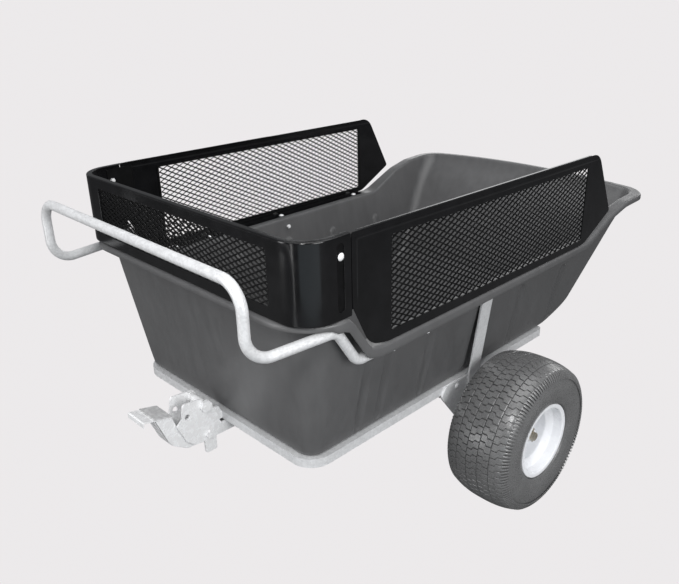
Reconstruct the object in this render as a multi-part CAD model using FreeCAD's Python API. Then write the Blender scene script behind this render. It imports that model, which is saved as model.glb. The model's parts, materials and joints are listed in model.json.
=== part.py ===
import FreeCAD, Part
import math
import os

# Two-wheeled tipping garden cart.
# Millimetres, +Z up, X across, -Y forward (push handle and latch), +Y rearward (pouring lip).
# Everything is drawn with the axle at Y = 0 and moved so that the origin is the middle of the footprint.

V = FreeCAD.Vector

# ---------------------------------------------------------------- driving dimensions
# overall reach from the axle
FRONT_REACH = 918.0
REAR_REACH = 822.0

# wheels and axle
TYRE_RADIUS = 228.5
TYRE_HALF_WIDTH = 104.0
TREAD_HALF_WIDTH = 86.0
BEAD_RADIUS = 101.2
RIM_HALF_WIDTH = 89.0
RIM_FLANGE_RADIUS = 115.5
RIM_WELL_RADIUS = 78.0
RIM_STEEL = 2.5
TRACK_HALF = 541.0
AXLE_RADIUS = 12.7
RUNNING_GAP = 0.06
HUB_HALF_LENGTH = 45.0
HUB_RADIUS = 20.0
BUSH_RADIUS = 16.0
BUSH_LENGTH = 25.0
BUSH_COLLAR = 2.5
AXLE_Z = TYRE_RADIUS

# base frame, a ring of rolled angle
RING_HALF = 385.0
RING_FRONT = -678.0
RING_REAR = 378.0
RING_CORNER = 65.0
RING_REAR_CORNER = 22.0
RING_TOP = 375.5
ANGLE_LEG_DOWN = 25.0
ANGLE_LEG_IN = 40.0
ANGLE_STEEL = 3.0
RING_BOTTOM = RING_TOP - ANGLE_LEG_DOWN

# tub
WALL = 5.0
FLOOR_HALF = 372.0
FLOOR_FRONT = -665.0
SIDE_DRAFT = 0.21
FRONT_DRAFT = 0.15
RIM_HALF = 488.0
RIM_FRONT = -764.0
RIM_REAR = REAR_REACH
RIM_FRONT_CORNER = 130.0
RIM_REAR_CORNER = 72.0
RIM_SKIN = 4.0
RIM_HIGH = 792.0
RIM_LOW = 686.0
LIP_Z = 781.0

# panels on the rim
SHEET = 2.0
PANEL_PLANE = 482.0
PANEL_FRONT = -756.0
PANEL_CORNER = 82.0
PANEL_TOP = 984.0
PANEL_TOP_REAR = 966.0
PANEL_FLANGE = 16.0
FOOT_FLANGE = 28.0
PANEL_JOINT = -620.0

# push handle
TUBE_RADIUS = 12.7
TUBE_WALL = 2.0
HANDLE_REACH = -880.0
HANDLE_HEIGHT = 932.0
HANDLE_HALF = 438.0
HANDLE_LOW = 757.0
HANDLE_RAIL = 466.0
HANDLE_FIX = 665.0

# drawbar, latch and pedal
DRAWBAR_HALF = 26.0
DRAWBAR_BOTTOM = 316.0
DRAWBAR_TOP = 348.0
CHEEK_STEEL = 6.0
HITCH_Y = -794.0
HITCH_Z = 413.0
HITCH_RADIUS = 8.0
PIVOT_Y = -735.0
PIVOT_Z = 332.0
PIVOT_RADIUS = 6.0
PIN_Y = -697.0
PIN_Z = 386.0
PIN_RADIUS = 6.0
TIE_Y = -738.0
TIE_Z = 425.0
TIE_RADIUS = 8.0
TAB_BOTTOM = 276.0
CHEEK_OUTER = DRAWBAR_HALF + CHEEK_STEEL

# fasteners
BOLT_RADIUS = 4.0
BOLT_HEAD = 9.0
NUT_RADIUS = 7.2
NUT_HEIGHT = 6.0
HOLE_EXTRA = 0.25

AXLE_Y = (FRONT_REACH - REAR_REACH) / 2.0


# ---------------------------------------------------------------- helpers
def save(name, shape):
    """Move a finished piece into the part's frame and write its STEP file."""
    moved = shape.copy()
    moved.translate(V(0, AXLE_Y, 0))
    moved.exportStep("parts/%s.step" % name)


def block(x0, x1, y0, y1, z0, z1):
    return Part.makeBox(x1 - x0, y1 - y0, z1 - z0, V(x0, y0, z0))


def rod(radius, start, end):
    """Round bar between two points."""
    span = end.sub(start)
    return Part.makeCylinder(radius, span.Length, start, span)


def rod_x(radius, x0, x1, y, z):
    return rod(radius, V(x0, y, z), V(x1, y, z))


def hexagon(radius, start, end):
    """Hexagonal bar between two points, radius to its corners."""
    span = end.sub(start)
    axis = V(span).normalize()
    side = axis.cross(V(0, 0, 1)) if abs(axis.z) < 0.9 else V(1, 0, 0)
    side = V(side).normalize().multiply(radius)
    corners = []
    for k in range(7):
        turn = FreeCAD.Rotation(axis, 60.0 * k)
        corners.append(start.add(turn.multVec(side)))
    return Part.Face(Part.makePolygon(corners)).extrude(span)


def mirrored(shape):
    """The same piece on the other side of the cart."""
    return shape.mirror(V(0, 0, 0), V(1, 0, 0))


def group(shapes):
    """Separate identical solids that share one node."""
    return Part.makeCompound([s for shape in shapes for s in shape.Solids])


def outline(corners, place):
    """Closed wire through corners (u, v, radius), each corner rounded by a tangent arc."""
    points = [V(c[0], c[1], 0) for c in corners]
    count = len(points)
    starts = []
    mids = []
    ends = []
    for k in range(count):
        here = points[k]
        back = points[k - 1].sub(here).normalize()
        ahead = points[(k + 1) % count].sub(here).normalize()
        radius = corners[k][2]
        if radius <= 0:
            starts.append(here)
            mids.append(None)
            ends.append(here)
            continue
        half = back.getAngle(ahead) / 2.0
        trim = radius / math.tan(half)
        bisector = back.add(ahead).normalize()
        centre = here.add(V(bisector).multiply(radius / math.sin(half)))
        starts.append(here.add(V(back).multiply(trim)))
        mids.append(centre.sub(V(bisector).multiply(radius)))
        ends.append(here.add(V(ahead).multiply(trim)))
    edges = []
    for k in range(count):
        if mids[k] is not None:
            arc = Part.Arc(place(starts[k]), place(mids[k]), place(ends[k]))
            edges.append(arc.toShape())
        following = starts[(k + 1) % count]
        if ends[k].distanceToPoint(following) > 1e-6:
            edges.append(Part.LineSegment(place(ends[k]), place(following)).toShape())
    return Part.Wire(edges)


def plan_wire(corners, z):
    return outline(corners, lambda p: V(p.x, p.y, z))


def plan_prism(corners, z0, z1):
    return Part.Face(plan_wire(corners, z0)).extrude(V(0, 0, z1 - z0))


def side_prism(corners, x0, x1):
    """Extrude an outline drawn in (Y, Z) across X."""
    wire = outline(corners, lambda p: V(x0, p.x, p.y))
    return Part.Face(wire).extrude(V(x1 - x0, 0, 0))


def front_prism(corners, y0, y1):
    """Extrude an outline drawn in (X, Z) along Y."""
    wire = outline(corners, lambda p: V(p.x, y0, p.y))
    return Part.Face(wire).extrude(V(0, y1 - y0, 0))


def rectangle(half, front, rear, front_radius, rear_radius):
    return [(half, front, front_radius), (half, rear, rear_radius),
            (-half, rear, rear_radius), (-half, front, front_radius)]


def bent_tube(points, radii, outer, inner):
    """Round tube along straight runs joined by tangent arcs."""
    edges = []
    start = points[0]
    for k in range(1, len(points) - 1):
        here = points[k]
        back = points[k - 1].sub(here).normalize()
        ahead = points[k + 1].sub(here).normalize()
        half = back.getAngle(ahead) / 2.0
        trim = radii[k - 1] / math.tan(half)
        bisector = back.add(ahead).normalize()
        rise = radii[k - 1] / math.sin(half) - radii[k - 1]
        first = here.add(V(back).multiply(trim))
        middle = here.add(V(bisector).multiply(rise))
        last = here.add(V(ahead).multiply(trim))
        edges.append(Part.LineSegment(start, first).toShape())
        edges.append(Part.Arc(first, middle, last).toShape())
        start = last
    edges.append(Part.LineSegment(start, points[-1]).toShape())
    spine = Part.Wire(edges)
    direction = points[1].sub(points[0])
    skins = []
    for radius in (outer, inner):
        ring = Part.Wire([Part.makeCircle(radius, points[0], direction)])
        skins.append(spine.makePipeShell([ring], True, True))
    return skins[0].cut(skins[1])


def bolt(head, direction, grip, radius=BOLT_RADIUS, head_radius=BOLT_HEAD, nut=NUT_RADIUS):
    """Domed coach bolt with its nut. head is the point under the head, direction runs to the nut."""
    axis = V(direction).normalize()
    nut_height = NUT_HEIGHT * radius / BOLT_RADIUS
    tip = head.add(V(axis).multiply(grip + nut_height + 1.5))
    dome_height = head_radius * 0.5
    dome_radius = (head_radius ** 2 + dome_height ** 2) / (2 * dome_height)
    ball_centre = head.add(V(axis).multiply(dome_radius - dome_height))
    crown = Part.makeSphere(dome_radius, ball_centre)
    seat = rod(head_radius, head, head.sub(V(axis).multiply(dome_height)))
    shank = rod(radius, head, tip)
    under = head.add(V(axis).multiply(grip))
    nut_solid = hexagon(nut, under, under.add(V(axis).multiply(nut_height)))
    return crown.common(seat).fuse([shank, nut_solid]).removeSplitter()


def hole(head, direction, length, radius=BOLT_RADIUS):
    """Clearance hole for a bolt."""
    axis = V(direction).normalize()
    start = head.sub(V(axis).multiply(1.0))
    return rod(radius + HOLE_EXTRA, start, head.add(V(axis).multiply(length)))


def revolved(points, centre_x):
    """Turn a closed (offset along X, radius) section about the axle."""
    corners = [V(centre_x + p[0], 0, AXLE_Z + p[1]) for p in points]
    face = Part.Face(Part.makePolygon(corners + [corners[0]]))
    return face.revolve(V(centre_x, 0, AXLE_Z), V(1, 0, 0), 360)


# ---------------------------------------------------------------- fastener places
SIDES = (1, -1)
SIDE_FOOT_Y = (-30.0, 340.0)
SIDE_FOOT_X = 464.0
FRONT_FOOT_X = (-250.0, 0.0, 250.0)
FRONT_FOOT_Y = -742.0
JOINER_BOLT = (-651.0, 938.0)
HANDLE_BOLT_Y = (-470.0, -340.0)
FLOOR_BOLT_Y = (-560.0, -420.0, 240.0)
FLOOR_BOLT_X = 356.0
BRACKET_BOLT_Y = (-101.0, 101.0)
BRACKET_BOLT_Z = 357.0
STRUT_HALF = 25.0
STRUT_STEEL = 6.0
STRUT_GAP = 2.5
STRUT_FOOT_Y = -22.0
STRUT_FOOT_Z = 312.0
STRUT_BEND_Z = 378.0
STRUT_TOP_Y = -34.0
STRUT_TOP_Z = 668.0
STRUT_BOLT_Z = 654.0
DOWN = V(0, 0, -1)


def wall_x(z):
    """Outer face of the tub's side wall at a height."""
    return FLOOR_HALF + SIDE_DRAFT * (z - RING_TOP)


def inward(side):
    return V(-side, 0, 0)


def side_foot_bolts():
    places = [V(side * SIDE_FOOT_X, y, RIM_LOW + SHEET) for side in SIDES for y in SIDE_FOOT_Y]
    return [(p, DOWN, SHEET + RIM_SKIN) for p in places]


def front_foot_bolts():
    places = [V(x, FRONT_FOOT_Y, RIM_HIGH + SHEET) for x in FRONT_FOOT_X]
    return [(p, DOWN, SHEET + RIM_SKIN) for p in places]


def joiner_bolts():
    y, z = JOINER_BOLT
    return [(V(s * PANEL_PLANE, y, z), inward(s), 2 * SHEET) for s in SIDES]


def handle_bolts():
    """Down through the side panel's foot flange, the rim and the handle's rail."""
    head = RIM_LOW + SHEET
    grip = head - HANDLE_FIX + TUBE_RADIUS + 0.3
    places = [V(side * HANDLE_RAIL, y, head) for side in SIDES for y in HANDLE_BOLT_Y]
    return [(p, DOWN, grip) for p in places]


def floor_bolts():
    places = [V(side * FLOOR_BOLT_X, y, RING_TOP + WALL) for side in SIDES for y in FLOOR_BOLT_Y]
    return [(p, DOWN, WALL + ANGLE_STEEL) for p in places]


def bracket_bolts():
    places = [(side, y) for side in SIDES for y in BRACKET_BOLT_Y]
    reach = RING_HALF + CHEEK_STEEL
    grip = CHEEK_STEEL + ANGLE_STEEL
    return [(V(s * reach, y, BRACKET_BOLT_Z), inward(s), grip) for s, y in places]


def strut_slope():
    """Outward lean of the strut, X per Z, between its bend and its top."""
    bend = RING_HALF + CHEEK_STEEL
    return (wall_x(STRUT_TOP_Z) + STRUT_GAP - bend) / (STRUT_TOP_Z - STRUT_BEND_Z)


def strut_centre_y(z):
    share = (z - STRUT_FOOT_Z) / (STRUT_TOP_Z - STRUT_FOOT_Z)
    return STRUT_FOOT_Y + share * (STRUT_TOP_Y - STRUT_FOOT_Y)


def strut_bolts():
    """One bolt square to each strut's outer face."""
    slope = strut_slope()
    bend = RING_HALF + CHEEK_STEEL
    face = bend + slope * (STRUT_BOLT_Z - STRUT_BEND_Z) + STRUT_STEEL
    grip = STRUT_STEEL + STRUT_GAP + WALL + 2.6
    y = strut_centre_y(STRUT_BOLT_Z)
    return [(V(s * face, y, STRUT_BOLT_Z), V(-s, 0, slope), grip) for s in SIDES]


def make_bolts(places):
    return group([bolt(p, d, g) for p, d, g in places])


def drilled(shape, places, length):
    return shape.cut(Part.makeCompound([hole(p, d, length) for p, d, g in places]))


# ---------------------------------------------------------------- wheels
def tyre(centre_x):
    """Hollow tyre: tread, shoulders, sidewalls and two beads."""
    outer = [(-TREAD_HALF_WIDTH, 216), (-62, 225), (-30, TYRE_RADIUS), (30, TYRE_RADIUS), (62, 225),
             (TREAD_HALF_WIDTH, 216), (98, 200), (TYRE_HALF_WIDTH, 172), (101, 140), (95.5, 118.5),
             (RIM_HALF_WIDTH - 0.3, 116.2), (RIM_HALF_WIDTH - 0.3, BEAD_RADIUS), (70, BEAD_RADIUS)]
    inner = [(72, 116), (86, 138), (92, 170), (87, 193), (76, 205), (30, 216)]
    section = outer + inner
    section += [(-x, r) for x, r in reversed(inner)]
    section += [(-x, r) for x, r in reversed(outer[6:])]
    return revolved(section, centre_x)


def rim(centre_x, side):
    """Pressed steel rim with bead seats, a well and a centre disc."""
    half = [(RIM_HALF_WIDTH, RIM_FLANGE_RADIUS), (RIM_HALF_WIDTH, BEAD_RADIUS),
            (62, BEAD_RADIUS), (48, RIM_WELL_RADIUS)]
    back = [(48 + RIM_STEEL, RIM_WELL_RADIUS - RIM_STEEL), (63, BEAD_RADIUS - RIM_STEEL),
            (RIM_HALF_WIDTH + RIM_STEEL, BEAD_RADIUS - RIM_STEEL),
            (RIM_HALF_WIDTH + RIM_STEEL, RIM_FLANGE_RADIUS)]
    section = half + [(-x, r) for x, r in reversed(half)]
    section += [(-x, r) for x, r in reversed(back)] + back
    barrel = revolved(section, centre_x)
    well = RIM_WELL_RADIUS - RIM_STEEL
    disc_section = [(-14, well + 0.5), (-10.5, well + 0.5), (-10.5, 60), (3.5, 44), (3.5, HUB_RADIUS),
                    (0, HUB_RADIUS), (0, 42.5), (-14, 58.5)]
    disc = revolved([(side * x, r) for x, r in disc_section], centre_x)
    return barrel.fuse(disc).removeSplitter()


def hub_tube(centre_x):
    sleeve = rod_x(HUB_RADIUS, centre_x - HUB_HALF_LENGTH, centre_x + HUB_HALF_LENGTH, 0, AXLE_Z)
    bore = rod_x(BUSH_RADIUS, centre_x - HUB_HALF_LENGTH, centre_x + HUB_HALF_LENGTH, 0, AXLE_Z)
    return sleeve.cut(bore)


def hub_bushes(centre_x):
    """Flanged bush in each end of the hub."""
    bore = AXLE_RADIUS + RUNNING_GAP
    made = []
    for end in (1, -1):
        face = centre_x + end * HUB_HALF_LENGTH
        body = rod_x(BUSH_RADIUS, face - end * BUSH_LENGTH, face, 0, AXLE_Z)
        collar = rod_x(HUB_RADIUS, face, face + end * BUSH_COLLAR, 0, AXLE_Z)
        cutter = rod_x(bore, centre_x - 60, centre_x + 60, 0, AXLE_Z)
        made.append(body.fuse(collar).cut(cutter).removeSplitter())
    return group(made)


def valve_stem(centre_x, side):
    """Tyre valve through the slope between the outer bead seat and the well."""
    z = AXLE_Z + 88.0
    stem = rod_x(3.8, centre_x + side * 40, centre_x + side * 80, 0, z)
    cap = rod_x(5.0, centre_x + side * 66, centre_x + side * 80, 0, z)
    root = rod_x(7.0, centre_x + side * 57.5, centre_x + side * 61, 0, z)
    return stem.fuse([cap, root]).removeSplitter()


def make_wheel(name, side):
    centre_x = side * TRACK_HALF
    valve = valve_stem(centre_x, side)
    save("tyre_" + name, tyre(centre_x))
    save("rim_" + name, rim(centre_x, side).cut(valve))
    save("hub_tube_" + name, hub_tube(centre_x))
    save("hub_bushes_" + name, hub_bushes(centre_x))
    save("valve_stem_" + name, valve)


# ---------------------------------------------------------------- chassis
HUB_OUTER = TRACK_HALF + HUB_HALF_LENGTH + BUSH_COLLAR
HUB_INNER = TRACK_HALF - HUB_HALF_LENGTH - BUSH_COLLAR
PIN_X = HUB_OUTER + 7.0
AXLE_END = PIN_X + 9.0
SPACER_START = RING_HALF + CHEEK_STEEL + 5.5


def axle():
    bar = rod_x(AXLE_RADIUS, -AXLE_END, AXLE_END, 0, AXLE_Z)
    for side in SIDES:
        bar = bar.cut(rod(2.2, V(side * PIN_X, 0, AXLE_Z - 20), V(side * PIN_X, 0, AXLE_Z + 20)))
    return bar


def axle_spacers():
    """Tube on each side that keeps the wheel away from the frame."""
    made = []
    for side in SIDES:
        outer = rod_x(17.0, side * SPACER_START, side * (HUB_INNER - 0.5), 0, AXLE_Z)
        made.append(outer.cut(rod_x(AXLE_RADIUS, side * 380, side * 520, 0, AXLE_Z)))
    return group(made)


def axle_washers():
    made = []
    for side in SIDES:
        disc = rod_x(19.0, side * (HUB_OUTER + 0.5), side * (HUB_OUTER + 3.5), 0, AXLE_Z)
        made.append(disc.cut(rod_x(AXLE_RADIUS, side * 580, side * 600, 0, AXLE_Z)))
    return group(made)


def split_pins():
    made = []
    for side in SIDES:
        x = side * PIN_X
        leg = rod(2.0, V(x, 0, AXLE_Z - 20), V(x, 0, AXLE_Z + 17))
        eye = Part.makeTorus(4.0, 1.8, V(x, 0, AXLE_Z + 21), V(1, 0, 0))
        made.append(leg.fuse(eye))
    return group(made)


def drawbar():
    """Rectangular hollow section under the tub."""
    front = -660.0
    rear = 14.0
    solid = block(-DRAWBAR_HALF, DRAWBAR_HALF, front, rear, DRAWBAR_BOTTOM, DRAWBAR_TOP)
    skin = 2.5
    core = block(-DRAWBAR_HALF + skin, DRAWBAR_HALF - skin, front, rear,
                 DRAWBAR_BOTTOM + skin, DRAWBAR_TOP - skin)
    return solid.cut(core)


def axle_saddles():
    """Plates welded to the drawbar's sides that hold the axle below it."""
    corners = [(-95, 344, 8), (12, 344, 4), (26, 228.5, 20), (0, 203, 22), (-26, 228.5, 20)]
    made = []
    for side in SIDES:
        plate = side_prism(corners, side * DRAWBAR_HALF, side * (DRAWBAR_HALF + CHEEK_STEEL))
        made.append(plate.cut(rod_x(AXLE_RADIUS, -60, 60, 0, AXLE_Z)))
    return group(made)


def cheek(side):
    """One of the two latch plates that carry the drawbar forward and end in the hitch hole."""
    corners = [(-600, 316, 0), (-600, 348, 0), (-692, 348, 6), (-700, 380, 8), (-712, 411, 10),
               (-752, 449, 10), (-804, 453, 8), (-811, 411, 6), (-828, 397, 8), (-803, 340, 10),
               (-778, 318, 8), (-749, 316, 0), (-748, TAB_BOTTOM, 6), (-712, TAB_BOTTOM, 6), (-711, 316, 0)]
    plate = side_prism(corners, side * DRAWBAR_HALF, side * (DRAWBAR_HALF + CHEEK_STEEL))
    for radius, y, z in ((HITCH_RADIUS, HITCH_Y, HITCH_Z), (PIVOT_RADIUS, PIVOT_Y, PIVOT_Z),
                         (TIE_RADIUS, TIE_Y, TIE_Z)):
        plate = plate.cut(rod_x(radius, -60, 60, y, z))
    return plate


def cross_bolt(y, z, radius, head_corner, head_height):
    """Hexagon bolt and nut through both cheeks."""
    shank = rod_x(radius, -CHEEK_OUTER - head_height - 3, CHEEK_OUTER, y, z)
    head = hexagon(head_corner, V(CHEEK_OUTER, y, z), V(CHEEK_OUTER + head_height, y, z))
    nut = hexagon(head_corner, V(-CHEEK_OUTER - head_height, y, z), V(-CHEEK_OUTER, y, z))
    return shank.fuse([head, nut]).removeSplitter()


def tie_spacer():
    tube = rod_x(13.5, -DRAWBAR_HALF, DRAWBAR_HALF, TIE_Y, TIE_Z)
    return tube.cut(rod_x(TIE_RADIUS, -DRAWBAR_HALF, DRAWBAR_HALF, TIE_Y, TIE_Z))


# ---------------------------------------------------------------- pedal and latch
PAD_REAR = (-832.0, 426.0)
PAD_FRONT = (-914.0, 446.0)
PAD_LEFT = -51.0
PAD_RIGHT = 25.0
ARM_IN = 17.0
ARM_OUT = 22.0
HOOK_HALF = 4.0
BOSS_RADIUS = 9.0
BOSS_HALF = 25.5
COIL_START = 6.5
COIL_PITCH = 2.6
COILS = 4
COIL_RADIUS = 10.8
WIRE_RADIUS = 1.2


def pad_height(y):
    """Underside of the sloping foot plate."""
    slope = (PAD_FRONT[1] - PAD_REAR[1]) / (PAD_FRONT[0] - PAD_REAR[0])
    return PAD_REAR[1] + slope * (y - PAD_REAR[0])


def pedal_arm():
    """Lever: two side plates that curve up to the pad, a pivot tube and a hook facing the striker."""
    corners = [(-716, 314, 14), (-796, 314, 30), (-850, 350, 60), (-886, pad_height(-886), 0),
               (-834, pad_height(-834), 0), (-818, 376, 60), (-803, 345, 16), (-770, 345, 20),
               (-716, 350, 14)]
    plates = [side_prism(corners, side * ARM_IN, side * ARM_OUT) for side in SIDES]
    hook_corners = [(-748, 326, 8), (-722, 326, 8), (-710, 345, 8), (-710, 386, 4), (-704.5, 391, 2),
                    (-704.5, 402, 2), (-724, 402, 6), (-724, 360, 8), (-748, 346, 8)]
    hook = side_prism(hook_corners, -HOOK_HALF, HOOK_HALF)
    boss = rod_x(BOSS_RADIUS, -BOSS_HALF, BOSS_HALF, PIVOT_Y, PIVOT_Z)
    bore = rod_x(PIVOT_RADIUS + RUNNING_GAP, -30, 30, PIVOT_Y, PIVOT_Z)
    return boss.fuse(plates + [hook]).removeSplitter().cut(bore)


def pad_slab(low, high, rear, front):
    """Slab parallel to the sloping pad, between two heights above its underside."""
    corners = [(rear, pad_height(rear) + low, 0), (front, pad_height(front) + low, 0),
               (front, pad_height(front) + high, 0), (rear, pad_height(rear) + high, 0)]
    return side_prism(corners, PAD_LEFT, PAD_RIGHT)


def pedal_plate():
    """Steel foot plate on the end of the arm, with a turned-down front lip."""
    slab = pad_slab(0.0, 3.0, PAD_REAR[0], PAD_FRONT[0])
    high = pad_height(PAD_FRONT[0])
    corners = [(PAD_FRONT[0], high, 0), (PAD_FRONT[0], high + 3, 0), (-FRONT_REACH, high + 2, 0),
               (-FRONT_REACH, high - 12, 0), (PAD_FRONT[0] - 1, high - 12, 0)]
    return slab.fuse(side_prism(corners, PAD_LEFT, PAD_RIGHT)).removeSplitter()


def pedal_tread():
    return pad_slab(3.0, 6.5, -834.0, -886.0)


def return_spring():
    """Torsion spring round the pivot tube, drawn as close coils."""
    coils = []
    for k in range(COILS):
        centre = V(COIL_START + COIL_PITCH * k, PIVOT_Y, PIVOT_Z)
        coils.append(Part.makeTorus(COIL_RADIUS, WIRE_RADIUS, centre, V(1, 0, 0)))
    return group(coils)


# ---------------------------------------------------------------- base frame on the tub side
def base_ring():
    """Ring of steel angle: one leg down, one leg in under the tub's edge."""
    def layer(inset, z0, z1):
        corners = rectangle(RING_HALF - inset, RING_FRONT + inset, RING_REAR - inset,
                            RING_CORNER - inset, max(RING_REAR_CORNER - inset, 0))
        return plan_prism(corners, z0, z1)
    ring = layer(0, RING_BOTTOM, RING_TOP)
    ring = ring.cut(layer(ANGLE_STEEL, RING_BOTTOM, RING_TOP - ANGLE_STEEL))
    ring = ring.cut(layer(ANGLE_LEG_IN, RING_TOP - ANGLE_STEEL, RING_TOP))
    ring = drilled(ring, floor_bolts(), 20)
    return drilled(ring, bracket_bolts(), 20)


def cross_member(y):
    """Flat bar under the tub floor, welded between the two sides of the ring."""
    reach = RING_HALF - ANGLE_STEEL
    top = RING_TOP - ANGLE_STEEL
    return block(-reach, reach, y - 25, y + 25, top - 5, top)


def axle_bracket(side):
    """Gusset plate on the ring that carries the cart on the axle."""
    corners = [(-150, 372, 6), (150, 372, 6), (172, 345, 8), (60, 202, 22), (-60, 202, 22),
               (-172, 345, 8)]
    inner = side * RING_HALF
    plate = side_prism(corners, inner, inner + side * CHEEK_STEEL)
    plate = plate.cut(rod_x(BUSH_RADIUS, -420, 420, 0, AXLE_Z))
    return drilled(plate, bracket_bolts(), 20)


def axle_bush(side):
    """Bush in the bracket that lets the tub turn on the axle."""
    inner = RING_HALF - 4
    outer = RING_HALF + CHEEK_STEEL
    body = rod_x(BUSH_RADIUS, side * inner, side * outer, 0, AXLE_Z)
    collar = rod_x(21.0, side * outer, side * (outer + 4), 0, AXLE_Z)
    bore = rod_x(AXLE_RADIUS + RUNNING_GAP, side * 370, side * 400, 0, AXLE_Z)
    return body.fuse(collar).removeSplitter().cut(bore)


def strut(side):
    """Flat bar from the axle bracket up the outside of the tub to just under the rim."""
    foot = RING_HALF + CHEEK_STEEL
    top = foot + strut_slope() * (STRUT_TOP_Z - STRUT_BEND_Z)
    corners = [(foot, STRUT_FOOT_Z, 0), (foot + STRUT_STEEL, STRUT_FOOT_Z, 0),
               (foot + STRUT_STEEL, STRUT_BEND_Z, 20), (top + STRUT_STEEL, STRUT_TOP_Z, 0),
               (top, STRUT_TOP_Z, 0), (foot, STRUT_BEND_Z, 26)]
    bar = front_prism(corners, -200, 200)
    lean = [(STRUT_FOOT_Y - STRUT_HALF, STRUT_FOOT_Z, 0), (STRUT_FOOT_Y + STRUT_HALF, STRUT_FOOT_Z, 0),
            (STRUT_TOP_Y + STRUT_HALF, STRUT_TOP_Z, 4), (STRUT_TOP_Y - STRUT_HALF, STRUT_TOP_Z, 4)]
    bar = bar.common(side_prism(lean, 300, 500))
    bar = bar if side > 0 else mirrored(bar)
    return drilled(bar, strut_bolts(), 40)


def latch_striker():
    """Two ears on the front of the ring with a cross pin for the hook."""
    corners = [(RING_FRONT, 353, 0), (RING_FRONT, 374, 0), (-688, 396, 6), (-706, 396, 6),
               (-706, 378, 8), (-690, 353, 8)]
    ears = [side_prism(corners, side * 14, side * 20) for side in SIDES]
    pin = rod_x(PIN_RADIUS, -22, 22, PIN_Y, PIN_Z)
    return ears[0].fuse([ears[1], pin]).removeSplitter()


# ---------------------------------------------------------------- tub
def rim_profile(low_front, low_side, low_lip):
    """Corners in (Y, Z) along the rim from front to rear, with a height for each stretch."""
    return [(-1000, low_front, 0), (-627, low_front, 12), (-563, low_side + 8, 30),
            (-520, low_side, 40), (430, low_side, 120), (575, low_lip - 33, 160),
            (665, low_lip - 13, 80), (1000, low_lip + 10, 0)]


def tub_loft(inset, lift):
    """Solid of the tub's form, a stack of rounded rectangles; inset and lift give the inside."""
    levels = [(RING_TOP, 380, 42, 25), (418, 535, 45, 40), (690, 722, 90, 75), (766, 796, 104, 66),
              (830, 812, 112, 64)]
    wires = []
    for z, rear, front_radius, rear_radius in levels:
        rise = z - RING_TOP
        corners = rectangle(FLOOR_HALF + SIDE_DRAFT * rise - inset,
                            FLOOR_FRONT - FRONT_DRAFT * rise + inset, rear - inset,
                            front_radius - inset, rear_radius - inset)
        wires.append(plan_wire(corners, z + lift))
    return Part.makeLoft(wires, True, True)


def rim_prism(inset):
    corners = rectangle(RIM_HALF - inset, RIM_FRONT + inset, RIM_REAR - inset,
                        RIM_FRONT_CORNER - inset, RIM_REAR_CORNER - inset)
    return plan_prism(corners, 600, 900)


def tub():
    """One-piece moulded tub: thin walls, a flat rim all round and a skirt under the rim's edge."""
    top = rim_profile(RIM_HIGH, RIM_LOW, LIP_Z)
    under = rim_profile(RIM_HIGH - RIM_SKIN, RIM_LOW - RIM_SKIN, LIP_Z - RIM_SKIN)
    skirt = [(-1000, 776, 0), (-682, 776, 8), (-664, 764, 8), (-638, 764, 8), (-575, 670, 26),
             (-530, 658, 40), (430, 667, 120), (575, 730, 160), (665, 753, 80), (1000, 770, 0)]
    sky = [(1000, 1100, 0), (-1000, 1100, 0)]
    above_top = side_prism(top + sky, -600, 600)
    above_under = side_prism(under + sky, -600, 600)
    above_skirt = side_prism(skirt + sky, -600, 600)
    inside = tub_loft(WALL, WALL)
    walls = tub_loft(0, 0)
    flat = rim_prism(0).common(above_under)
    edge = rim_prism(0).cut(rim_prism(RIM_SKIN)).common(above_skirt)
    shell = walls.fuse([flat, edge]).cut(inside).cut(above_top)
    for places, length in ((side_foot_bolts(), 12), (front_foot_bolts(), 12), (handle_bolts(), 12),
                           (floor_bolts(), 12), (strut_bolts(), 30)):
        shell = drilled(shell, places, length)
    return shell.removeSplitter()


# ---------------------------------------------------------------- handle
def push_handle():
    """One tube: cross bar, drops at both ends, and rails that step down under the rim."""
    half = [V(HANDLE_HALF, HANDLE_REACH, HANDLE_HEIGHT), V(HANDLE_HALF, HANDLE_REACH, HANDLE_LOW),
            V(HANDLE_RAIL, -656, HANDLE_LOW + 4), V(HANDLE_RAIL, -594, HANDLE_FIX),
            V(HANDLE_RAIL, -312, HANDLE_FIX)]
    radii = [60.0, 62.0, 36.0, 36.0]
    points = list(reversed(half)) + [V(-p.x, p.y, p.z) for p in half]
    bends = list(reversed(radii)) + radii
    made = bent_tube(points, bends, TUBE_RADIUS, TUBE_RADIUS - TUBE_WALL)
    return drilled(made, handle_bolts(), 60)


# ---------------------------------------------------------------- panels
def front_band(inset, z0, z1):
    """U-shaped strip that follows the front panel's line, inset from its outer face."""
    def area(extra):
        corners = rectangle(PANEL_PLANE - extra, PANEL_FRONT + extra, 0, PANEL_CORNER - extra, 0)
        return plan_prism(corners, z0, z1)
    strip = area(0).cut(area(inset))
    return strip.common(block(-600, 600, -900, PANEL_JOINT - 1.0, z0, z1))


FRONT_WINDOW_HALF = 362.0
FRONT_WINDOW = (822.0, 956.0)
SLOT_Y = (-663.0, -642.0)
SLOT_Z = (812.0, 968.0)


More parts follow.
